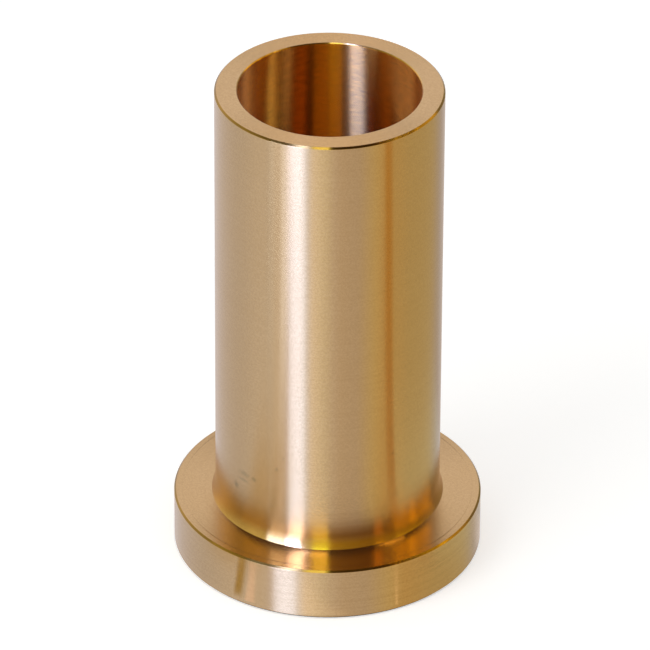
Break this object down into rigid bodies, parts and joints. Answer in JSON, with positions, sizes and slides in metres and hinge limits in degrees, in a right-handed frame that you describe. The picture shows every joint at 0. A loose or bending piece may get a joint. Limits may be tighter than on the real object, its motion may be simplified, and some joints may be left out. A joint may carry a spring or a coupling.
{
  "type": "flanged bushing",
  "caption": "Long plain sleeve bushing turned from bronze, with a smooth through bore and a thick flange at one end.",
  "frame": {"origin": "centre of the bore at the flange's outer face, on which the bushing stands", "axes": "+Z along the bore's axis, from the flange towards the sleeve's free end; the part is round, so +X and +Y are any two square directions across it"},
  "size_m": [0.0684, 0.0684, 0.115],
  "materials": {
    "turned_bronze": "bare tin bronze, finely turned all over, semi-bright with circular feed marks"
  },
  "bodies": {
    "root": {"bushing": "turned_bronze"}
  },
  "joints": []
}
